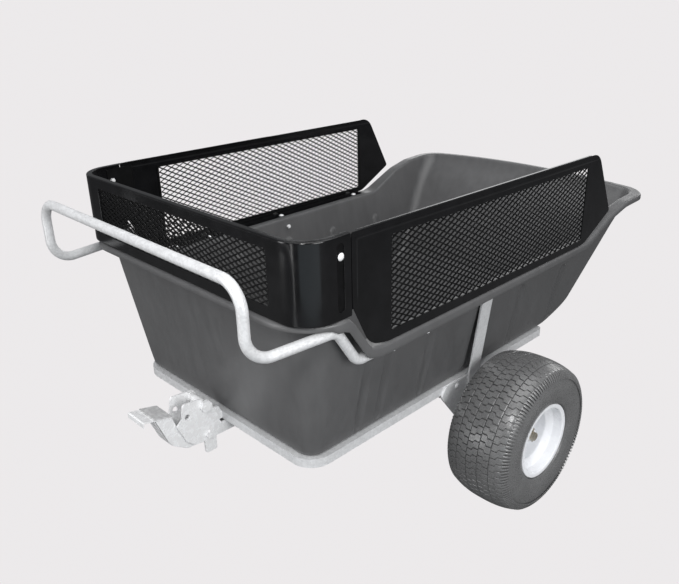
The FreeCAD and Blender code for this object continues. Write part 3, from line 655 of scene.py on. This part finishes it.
def round_plan(half, front, rear, front_radius, rear_radius):
    """X and Y of every station on a rounded rectangle; the sizes may differ by station."""
    quarter = SPOT * math.pi / 2
    end = rear - rear_radius
    squeeze = np.minimum(1.0, (end - STEADY - 10) / STRETCH)
    along = np.where(SPOT > STEADY, STEADY + (SPOT - STEADY) * squeeze, SPOT)
    last = STEADY + STRETCH * squeeze
    x = np.select([KIND == FRONT, KIND == FRONT_TURN, KIND == REAR_TURN, KIND == REAR],
                  [SPOT * (half - front_radius),
                   half - front_radius + front_radius * np.sin(quarter),
                   half - rear_radius + rear_radius * np.cos(quarter),
                   (1 - SPOT) * (half - rear_radius)],
                  half)
    y = np.select([KIND == FRONT, KIND == FRONT_TURN, KIND == SIDE, KIND == SIDE_END, KIND == REAR_TURN],
                  [front,
                   front + front_radius * (1 - np.cos(quarter)),
                   along,
                   last + SPOT * (end - last),
                   end + rear_radius * np.sin(quarter)],
                  rear)
    return x * HAND, y


EASE_RISE = 30.0
EASE_STEPS = (-21, -14, -7, 0, 7, 14, 21)


def level_value(z, column):
    """A column of TUB_LEVELS at a height; above the floor the bends between levels are eased."""
    heights, values = TUB_LEVELS[:, 0], TUB_LEVELS[:, column]
    near = np.array([np.interp(z + step, heights, values) for step in EASE_STEPS])
    share = np.clip((z - FLOOR_Z) / EASE_RISE, 0, 1)
    return share * near.mean(0) + (1 - share) * np.interp(z, heights, values)


def wall_plan(z, inset):
    """Stations on the tub's wall at a height."""
    rear, front_radius, rear_radius = [level_value(z, column) for column in (1, 2, 3)]
    rise = z - FLOOR_Z
    return round_plan(FLOOR_HALF + SIDE_DRAFT * rise - inset, FLOOR_FRONT - FRONT_DRAFT * rise + inset,
                      rear - inset, np.maximum(front_radius - inset, 2), np.maximum(rear_radius - inset, 2))


def rim_plan(inset):
    front_radius, rear_radius = RIM_CORNERS
    flat = np.zeros(len(SPOT))
    return round_plan(RIM_HALF - inset + flat, RIM_FRONT + inset + flat, RIM_REAR - inset + flat,
                      front_radius - inset + flat, rear_radius - inset + flat)


def profile(corners):
    """Height of the rim at a place: a line along Y, with a crown across the rear lip."""
    line = rounded(corners, closed=False, turn=4)
    ys = np.array([p.x for p in line])
    zs = np.array([p.y for p in line])

    def height(x, y):
        crown = LIP_CROWN * np.clip((y - 640) / 110, 0, 1) * np.clip(1 - (x / 470) ** 2, 0, 1)
        return np.interp(y, ys, zs) + crown
    return height


def rib_push(y, z):
    """How far the side wall is pressed inward at a place."""
    push = np.zeros_like(z)
    for rib_y, top in RIBS:
        over = np.clip(z, 400, top - RIB_HALF) - z
        share = np.clip((RIB_HALF - np.sqrt((y - rib_y) ** 2 + over ** 2)) / RIB_SLOPE, 0, 1)
        push = np.maximum(push, share * share * (3 - 2 * share))
    return push * RIB_DEPTH


def make_tub():
    rim_top = profile(RIM_TOP)
    skirt_low = profile(SKIRT)
    rows = []

    def row(x, y, z):
        z = z + np.zeros_like(x)
        rows.append(list(zip(x.tolist(), y.tolist(), z.tolist())))

    def wall_row(z, inset):
        x, y = wall_plan(z, inset)
        side = np.isin(KIND, (SIDE, SIDE_END))
        row(x - HAND * np.where(side, rib_push(y, z), 0), y, z)

    def wall_end(inset, drop):
        """Height at each station where the wall meets the rim's surface, less drop."""
        z = np.full(len(SPOT), 700.0)
        for _ in range(30):
            x, y = wall_plan(z, inset)
            z = rim_top(x, y) - drop
        return z

    # inside: up from the floor, up the wall, over the lip and out along the rim
    floor = np.full(len(SPOT), FLOOR_Z + WALL)
    for turn in np.linspace(90, 0, 7):
        a = math.radians(turn)
        wall_row(floor + INNER_FILLET * (1 - math.cos(math.pi / 2 - a)),
                 WALL + INNER_FILLET * (1 - math.sin(math.pi / 2 - a)))
    lip = 6.0
    start = floor + INNER_FILLET
    end = wall_end(WALL, lip)
    for share in np.linspace(0, 1, WALL_ROWS)[1:]:
        wall_row(start + share * (end - start), WALL)
    for turn in (30, 60, 90):
        a = math.radians(turn)
        x, y = wall_plan(end + lip * math.sin(a), WALL - lip * (1 - math.cos(a)))
        row(x, y, end + lip * math.sin(a))
    inner = wall_plan(end + lip, WALL - lip)
    outer = rim_plan(EDGE)
    for share in (0.25, 0.5, 0.75, 1.0):
        x = inner[0] + share * (outer[0] - inner[0])
        y = inner[1] + share * (outer[1] - inner[1])
        row(x, y, rim_top(x, y))
    # rolled edge, and down the skirt
    for turn in (15, 30, 45, 60, 75, 90):
        a = math.radians(turn)
        x, y = rim_plan(EDGE * (1 - math.sin(a)))
        row(x, y, rim_top(x, y) - EDGE * (1 - math.cos(a)))
    x, y = rim_plan(0.0)
    for share in (0.5, 1.0):
        fall = rim_top(x, y) - EDGE - skirt_low(x, y) - 1.5
        row(x, y, rim_top(x, y) - EDGE - share * fall)
    for inset, rise in ((0.6, 0.4), (1.5, 0.0), (2.5, 0.0), (3.4, 0.4), (4.0, 1.5)):
        x, y = rim_plan(inset)
        row(x, y, skirt_low(x, y) + rise)
    # back under the rim and down the outside of the wall
    under = EDGE - RIM_SKIN
    for turn in (90, 60, 30, 0):
        a = math.radians(turn)
        x, y = rim_plan(EDGE - under * math.sin(a))
        row(x, y, rim_top(x, y) - EDGE + under * math.cos(a))
    end = wall_end(0.0, RIM_SKIN + 4)
    inner = wall_plan(end + 4, -4.0)
    outer = (x, y)
    for share in (0.5, 1.0):
        x = outer[0] + share * (inner[0] - outer[0])
        y = outer[1] + share * (inner[1] - outer[1])
        row(x, y, rim_top(x, y) - RIM_SKIN)
    x, y = wall_plan(end + 2.8, -1.2)
    row(x, y, end + 2.8)
    base = np.full(len(SPOT), FLOOR_Z)
    start = base + OUTER_FILLET
    for share in np.linspace(1, 0, WALL_ROWS)[:-1]:
        wall_row(start + share * (end - start), 0.0)
    for turn in np.linspace(0, 90, 6):
        a = math.radians(turn)
        wall_row(base + OUTER_FILLET * (1 - math.sin(a)), OUTER_FILLET * (1 - math.cos(a)))
    form = Form()
    form.grid(rows, loop_columns=True, caps=True)
    show("moulded_tub", form.mesh("moulded_tub", 50), "tub")


# ---------------------------------------------------------------- panels and mesh
SIDE_LOW, SIDE_HIGH = drawn_box("side_panel_right")
FRONT_LOW, FRONT_HIGH = drawn_box("front_panel")
SHEET = 2.0
FOLD = 3.5
PLANE = SIDE_HIGH.x
PANEL_FRONT = FRONT_LOW.y
PANEL_TOP = FRONT_HIGH.z
FRONT_FOOT = FRONT_LOW.z
SIDE_FOOT = SIDE_LOW.z
CORNER = 82.0
TOP_SLOPE = 18.0 / 1074.0
SIDE_START = -619.0
SIDE_OUTLINE = [(SIDE_START, PANEL_TOP, 3), (SIDE_START, 812, 40), (-566, 702, 60),
                (-500, SIDE_FOOT, 60), (400, SIDE_FOOT, 80), (553, 764, 8), (446, 966, 58)]
SIDE_WINDOW = [(-493, 714), (384, 706), (384, 933), (-493, 948)]
FRONT_HALF = 362.0
FRONT_WINDOW = [(-FRONT_HALF, 822), (FRONT_HALF, 822), (FRONT_HALF, 956), (-FRONT_HALF, 956)]
SLOT_Y = (-663.0, -642.0)
SLOT_Z = (812.0, 968.0)
SLOT_CORNER = 10.0
BEAD_IN = 17.0
BEAD_HALF = 3.2
BEAD_HEIGHT = 1.1
GUARD = 0.8
BEAD_START = 14.0
TOP_FLANGE = 9.0
FRONT_FLANGE = 16.0
FOOT_FLANGE = 28.0
FLAT = PLANE - CORNER
ARC = CORNER * math.pi / 2
BEAD_CUTS = [-BEAD_HALF - GUARD] + [BEAD_HALF * k / 2 for k in range(-2, 3)] + [BEAD_HALF + GUARD]


def turned(height, w, edge, side):
    """Height and depth of a plate point near an edge folded inward; side is +1 at the top."""
    start = edge - side * FOLD
    past = side * (height - start)
    if past <= 0:
        return height, -w
    angle = min(past / FOLD, math.pi / 2)
    rest = max(past - FOLD * math.pi / 2, 0)
    reach = FOLD + w
    return start + side * reach * math.sin(angle), FOLD - reach * math.cos(angle) + rest


def tab(flange):
    """Extra flat length past an edge that folds into a flange."""
    return FOLD * (math.pi / 2 - 1) + flange - FOLD


FOLD_TURNS = [k * math.pi / 12 for k in range(7)] + [-GUARD / FOLD]


def fold_cuts(edge, side):
    """Slices through a level fold."""
    return [((0, edge - side * FOLD + side * FOLD * turn), (0, 1)) for turn in FOLD_TURNS]


def bump_at(distance):
    """Height of a pressed bead at a distance from its middle."""
    share = min(abs(distance) / BEAD_HALF, 1)
    return BEAD_HEIGHT * (0.5 + 0.5 * math.cos(math.pi * share))


def side_panel(side, node):
    """Side panel with a folded top edge, a foot flange, a window and two pressed beads."""
    top = tab(TOP_FLANGE)
    foot = tab(FOOT_FLANGE)

    def top_line(u):
        return PANEL_TOP - TOP_SLOPE * (u - SIDE_START)
    outline = [tuple(p) for p in rounded(SIDE_OUTLINE, turn=6)]
    top_tab = [(400, top_line(400)), (396, top_line(396) + top),
               (-598, top_line(-598) + top), (-602, top_line(-602))]
    foot_tab = [(-470, SIDE_FOOT), (-466, SIDE_FOOT - foot),
                (376, SIDE_FOOT - foot), (380, SIDE_FOOT)]

    def beside_foot_tab(i):
        """Highest for the foot line's point nearest to the tab's front end."""
        u, v = outline[i]
        return abs(v - SIDE_FOOT) < 0.5, -abs(u - foot_tab[0][0])
    low = max(range(len(outline)), key=beside_foot_tab)
    outline[low + 1:low + 1] = foot_tab
    outline += top_tab
    holes = [[tuple(p) for p in rounded([(y, z, 6) for y, z in SIDE_WINDOW], turn=15)]]
    steps = [FOLD * (k * math.pi / 12 - 1) for k in range(7)] + [-FOLD - GUARD]
    steps += [bead - BEAD_IN for bead in BEAD_CUTS]
    cuts = fold_cuts(SIDE_FOOT, -1)
    cuts += [((SIDE_START, PANEL_TOP + step), (TOP_SLOPE, 1)) for step in steps]
    cuts += [((SIDE_START + BEAD_START + bead, 0), (1, 0)) for bead in BEAD_CUTS]
    cuts += [((-470 + 70 * k, 0), (1, 0)) for k in range(13)]

    def formed(u, v, w):
        drop = TOP_SLOPE * (u - SIDE_START)
        if v > 800:
            height, depth = turned(v + drop, w, PANEL_TOP, 1)
            height -= drop
        else:
            height, depth = turned(v, w, SIDE_FOOT, -1)
        if SIDE_START + BEAD_START < u < 440:
            depth -= bump_at(v + drop - (PANEL_TOP - BEAD_IN))
        if 834 < v < PANEL_TOP - BEAD_IN:
            depth -= bump_at(u - SIDE_START - BEAD_START)
        return side * (PLANE - depth), u, height
    work = sheet(node, outline, holes, SHEET, 0.5, cuts)
    show("panel_" + node, shaped("panel_" + node, work, formed), node)


def front_path(s, depth):
    """Plan position along the front panel: s from the middle, depth inward from its face."""
    side = 1 if s >= 0 else -1
    past = abs(s) - FLAT
    if past <= 0:
        return s, PANEL_FRONT + depth
    if past < ARC:
        angle = past / CORNER
        reach = CORNER - depth
        return side * (FLAT + reach * math.sin(angle)), PANEL_FRONT + CORNER - reach * math.cos(angle)
    return side * (PLANE - depth), PANEL_FRONT + CORNER + past - ARC


def front_panel():
    """Front panel: one sheet round both corners, with flanges, a window and a slot in each wing."""
    wing = FLAT + ARC - (PANEL_FRONT + CORNER)
    end = wing + FRONT_HIGH.y
    top = PANEL_TOP + tab(FRONT_FLANGE)
    foot = FRONT_FOOT - tab(FOOT_FLANGE)
    outline = [(-end, foot), (end, foot), (end, top), (-end, top)]
    holes = [rounded([(s, z, 8) for s, z in FRONT_WINDOW], turn=15)]
    low, high = SLOT_Z
    for side in (1, -1):
        fore, aft = [side * (wing + y) for y in SLOT_Y]
        slot = [(fore, low), (aft, low), (aft, high), (fore, high)]
        holes.append(rounded([(s, z, SLOT_CORNER) for s, z in slot], turn=15))
    cuts = fold_cuts(FRONT_FOOT, -1) + fold_cuts(PANEL_TOP, 1)
    spots = [FLAT + ARC * k / 30 for k in range(31)] + [FLAT - GUARD, FLAT + ARC + GUARD]
    cuts += [((side * spot, 0), (1, 0)) for side in (1, -1) for spot in spots]
    cuts += [((s, 0), (1, 0)) for s in range(-360, 361, 60)]

    def formed(u, v, w):
        if v > 890:
            height, depth = turned(v, w, PANEL_TOP, 1)
        else:
            height, depth = turned(v, w, FRONT_FOOT, -1)
        return *front_path(u, depth), height
    work = sheet("front_panel", outline, holes, SHEET, 0.5, cuts)
    show("panel_front", shaped("panel_front", work, formed), "front_panel")


STRAND_WIDE = 4.8
STRAND_DEEP = 1.2
STRAND_TILT = -35.0
STRAND_LIFT = 0.6
STRAND_SET = 2.6
LONG_WAY = 29.3
SHORT_WAY = 15.1
KNUCKLE = 1.4
BORDER = 7.0


def expanded(window, formed):
    """Expanded metal: zigzag strands that touch at their knuckles, inside a flat border."""
    (u0, v0), (u1, v1), (u2, v2), (u3, v3) = window
    halves = 2 * round((u1 - u0) / LONG_WAY)
    lines = 2 * round(((v3 - v0) + (v2 - v1)) / 2 / SHORT_WAY)
    form = Form()

    def spot(s, t, lift):
        low = Vector((u0, v0)).lerp(Vector((u1, v1)), s)
        high = Vector((u3, v3)).lerp(Vector((u2, v2)), s)
        here = low.lerp(high, t)
        return here.x, here.y + lift
    knuckle = KNUCKLE / (u1 - u0)
    a = STRAND_WIDE / 2
    b = STRAND_DEEP / 2
    tilt = math.radians(STRAND_TILT)
    section = [(p * math.cos(tilt) - q * math.sin(tilt), p * math.sin(tilt) + q * math.cos(tilt))
               for p, q in ((-a, -b), (a, -b), (a, b), (-a, b))]
    for j in range(lines):
        rows = []
        for i in range(halves + 1):
            high = (i + j) % 2
            lift = -STRAND_LIFT if high else STRAND_LIFT
            for step in (-knuckle, knuckle):
                s = min(max(i / halves + step, 0), 1)
                u, v = spot(s, (j + high) / lines, lift)
                rows.append([formed(u, v + p, -SHEET - STRAND_SET + q) for p, q in section])
        form.grid(rows, loop_columns=True, caps=True)
    front = -SHEET - 0.1
    back = -SHEET - 1.9
    border = ((0.3, front), (BORDER, front), (BORDER, back), (0.3, back))
    inward = [(-1, -1), (1, -1), (1, 1), (-1, 1)]
    form.grid([[formed(u + du * out, v + dv * out, w) for out, w in border]
               for (u, v), (du, dv) in zip(window, inward)], loop_rows=True, loop_columns=True)
    return form


def make_panels():
    front_panel()
    form = expanded(FRONT_WINDOW, lambda u, v, w: (u, PANEL_FRONT - w, v))
    show("screen_front", form.mesh("screen_front", 30), "front_mesh")
    for side, name in ((1, "right"), (-1, "left")):
        side_panel(side, "side_panel_" + name)
        form = expanded(SIDE_WINDOW, lambda u, v, w: (side * (PLANE + w), u, v))
        show("screen_" + name, form.mesh("screen_" + name, 30), "side_mesh_" + name)


# ---------------------------------------------------------------- handle
HANDLE_LOW, HANDLE_HIGH = drawn_box("push_handle")
TUBE = 12.7
TUBE_WALL = 2.0
HANDLE_HALF = 438.0
HANDLE_RAIL = HANDLE_HIGH.x - TUBE
HANDLE_BEND = 757.0


def make_handle():
    """One tube: cross bar, a drop at each end, and rails that step down under the rim."""
    bar_y = HANDLE_LOW.y + TUBE
    rail_z = HANDLE_LOW.z + TUBE
    half = [(HANDLE_HALF, bar_y, HANDLE_HIGH.z - TUBE),
            (HANDLE_HALF, bar_y, HANDLE_BEND),
            (HANDLE_RAIL, -656, HANDLE_BEND + 4),
            (HANDLE_RAIL, -594, rail_z),
            (HANDLE_RAIL, HANDLE_HIGH.y, rail_z)]
    radii = [60.0, 62.0, 36.0, 36.0]
    points = half[::-1] + [(-x, y, z) for x, y, z in half]
    form = Form()
    tube(form, bend(points, radii[::-1] + radii), TUBE, 32, TUBE_WALL)
    show("handle_tube", form.mesh("handle_tube", 50), "push_handle")


# ---------------------------------------------------------------- wheels
TREAD_COLUMNS = 5
TREAD_ROWS = 66
COLUMN_PITCH = 36.0
COLUMN_SHIFT = 0.3
TREAD_DEPTH = 6.5
TREAD_GAP = 1.4
TREAD_ZIG = 3.8
CROWN_RADIUS = 228.4
CROWN_DROP = 14.0
CROWN_REACH = 88.0
# half of the carcass section: offset from the middle, radius, corner radius
CARCASS = [(45, 221.0, 90), (80, 212, 40), (99, 192, 30), (103.5, 165, 30), (101.5, 138, 30),
           (95.5, 118.5, 4), (88.6, 116.2, 1), (88.6, 101.3, 1), (70, 101.3, 1), (72, 116, 6),
           (86, 138, 40), (91, 168, 30), (86, 192, 20), (74, 205, 20), (30, 214, 60)]
# shoulder lugs: where they lie along the shoulder, and their section as height and half width
LUG_LINE = ((88, 213.5), (93, 208.5), (98, 201), (101, 193))
LUG_SECTION = ((-2.0, 3.4), (1.0, 3.0), (1.6, 1.8), (1.6, -1.8), (1.0, -3.0), (-2.0, -3.4))
LUG_RADIUS = 210.0


def crown_radius(x):
    """The tread's radius falls off evenly towards the shoulders."""
    return CROWN_RADIUS - CROWN_DROP * (abs(x) / CROWN_REACH) ** 2.6


def wheel_point(x, radius, turn):
    return x, radius * math.sin(turn), AXLE_Z + radius * math.cos(turn)


def tread_block(form, x, angle, half_wide, half_long, jog):
    """One Z-shaped block: its top follows the crown, its foot is sunk in the carcass."""
    foot = TREAD_DEPTH + 1.5
    across = ((-half_wide, jog), (1.2 - half_wide, jog), (-half_wide / 2, jog), (-1.6, jog),
              (1.6, -jog), (half_wide / 2, -jog), (half_wide - 1.2, -jog), (half_wide, -jog))
    along = ((-half_long, foot), (-half_long, 1.0), (0.9 - half_long, 0.0), (0, -0.1),
             (half_long - 0.9, 0.0), (half_long, 1.0), (half_long, foot))
    rows = []
    for u, middle in across:
        rounding = 0.9 if abs(u) > half_wide - 1 else 0.0
        rows.append([wheel_point(x + u, crown_radius(x + u) - max(drop, rounding),
                                 angle + (middle + s) / crown_radius(x)) for s, drop in along])
    form.grid(rows, loop_columns=True, caps=True)


def make_tyre(name, x_wheel):
    """Hollow tyre: carcass, rows of interlocking blocks and a ring of lugs on each shoulder."""
    loop = rounded(CARCASS + [(-x, r, q) for x, r, q in CARCASS[::-1]], turn=8)
    form = Form()
    lathe(form, [tuple(p) for p in loop], 0.0, 160)
    pitch = 2 * math.pi / TREAD_ROWS
    half_long = math.pi * crown_radius(0) / TREAD_ROWS - TREAD_GAP
    for column in range(TREAD_COLUMNS):
        place_x = (column - (TREAD_COLUMNS - 1) / 2) * COLUMN_PITCH
        odd = column % 2
        for row in range(TREAD_ROWS):
            tread_block(form, place_x, (row + COLUMN_SHIFT * odd) * pitch, COLUMN_PITCH / 2 - 0.8,
                        half_long, TREAD_ZIG if odd else -TREAD_ZIG)
    for hand in (1, -1):
        for k in range(2 * TREAD_ROWS):
            angle = k * pitch / 2
            rows = [[wheel_point(hand * (u + lift * 0.8), r + lift * 0.6, angle + wide / LUG_RADIUS)
                     for lift, wide in LUG_SECTION] for u, r in LUG_LINE]
            form.grid(rows, loop_columns=True, caps=True)
    moved = Form()
    moved.add([(p[0] + x_wheel, p[1], p[2]) for p in form.points], form.faces)
    show("tyre_" + name + "_treaded", moved.mesh("tyre_" + name + "_treaded", 32), "tyre_" + name)


# rim sections, as offset from the wheel's middle, radius, corner radius
RIM_OUTER = [(91.3, 113.4, 1.0), (89, 115.5, 1.6), (88.9, 103.5, 2), (84, 101.2, 2),
             (63, 101.0, 4), (48, 78, 6)]
RIM_INNER = [(50.5, 75.5, 6), (65, 96.5, 4), (83, 98.4, 3), (91.5, 99.4, 3), (93, 104, 3),
             (93.2, 113, 1.0)]
RIM_DISC = [(-14, 77, 0), (-10.5, 77, 0), (-10.5, 62, 5), (3.5, 46, 5), (3.5, 30, 3), (7, 25, 2),
            (7, 20.2, 0.5), (3, 20.2, 0.5), (0, 29, 3), (0, 43, 5), (-14, 59, 5)]


def make_rim(side, name, x_wheel):
    """Pressed rim: rolled flanges, bead seats, a stepped well and a dished centre."""
    loop = RIM_OUTER + [(-x, r, q) for x, r, q in reversed(RIM_OUTER)]
    loop += [(-x, r, q) for x, r, q in reversed(RIM_INNER)] + RIM_INNER
    form = Form()
    for section in (loop, RIM_DISC):
        lathe(form, [(side * p.x, p.y) for p in rounded(section, turn=12)], x_wheel, 128)
    show("rim_" + name + "_pressed", form.mesh("rim_" + name + "_pressed", 34), "rim_" + name)


def make_wheels():
    for side, name in ((1, "right"), (-1, "left")):
        low, high = drawn_box("tyre_" + name)
        x_wheel = (low.x + high.x) / 2
        make_tyre(name, x_wheel)
        make_rim(side, name, x_wheel)


# ---------------------------------------------------------------- pedal and spring
WIRE = 1.2
COIL_TURNS = 3.0
COIL_STEPS = 96


def make_spring():
    """Real helix where the CAD shows a stack of rings."""
    low, high = drawn_box("pedal_return_spring")
    middle = (low + high) / 2
    radius = (high.z - low.z) / 2 - WIRE
    path = []
    for k in range(COIL_STEPS + 1):
        angle = 2 * math.pi * COIL_TURNS * k / COIL_STEPS
        x = low.x + WIRE + (high.x - low.x - 2 * WIRE) * k / COIL_STEPS
        path.append(Vector((x, middle.y + radius * math.sin(angle), middle.z + radius * math.cos(angle))))
    form = Form()
    tube(form, path, WIRE, 10)
    show("spring_coil", form.mesh("spring_coil", 50), "pedal_return_spring")


STRIP_LINE = [(-716, 311.5, 0), (-796, 311.5, 30), (-850, 347.5, 60), (-884, 437.0, 0)]
STRIP_HALF = 22.0
STRIP_STEEL = 3.0
STRIP_EDGE = 0.7


def make_pedal_strip():
    """The lever's underside: one strip bent up from the pivot to the pad, over the CAD plates."""
    line = rounded(STRIP_LINE, closed=False, turn=5)
    flat = STRIP_HALF - STRIP_EDGE
    section = ((-STRIP_HALF, 0.25), (-STRIP_HALF, 0.75), (-flat, 1), (flat, 1),
               (STRIP_HALF, 0.75), (STRIP_HALF, 0.25), (flat, 0), (-flat, 0))
    form = Form()
    rows = []
    for k, here in enumerate(line):
        back = line[max(k - 1, 0)]
        ahead = line[min(k + 1, len(line) - 1)]
        way = (ahead - back).normalized()
        inner = here + Vector((way.y, -way.x)) * STRIP_STEEL
        rows.append([(x, *here.lerp(inner, share)) for x, share in section])
    form.grid(rows, loop_columns=True, caps=True)
    add_piece("pedal_strip", form.mesh("pedal_strip", 40), "pedal_arm")


SOFT_NODES = ("base_ring", "axle_bracket_right", "axle_bracket_left", "strut_right", "strut_left",
              "drawbar", "axle_saddles", "latch_cheek_right", "latch_cheek_left", "latch_striker",
              "cross_member_front", "cross_member_middle", "cross_member_rear",
              "corner_joiner_right", "corner_joiner_left", "pedal_arm", "pedal_plate", "pedal_tread")


def dress_cad():
    """Every CAD node that stays in view gets its finish."""
    for node, thing in frame["nodes"].items():
        thing.data.materials.clear()
        thing.data.materials.append(finish_of(node))


add_camera()
add_studio()
add_floor()
dress_cad()
make_tub()
make_panels()
make_handle()
make_wheels()
make_spring()
make_pedal_strip()
for soft_node in SOFT_NODES:
    soften(soft_node)
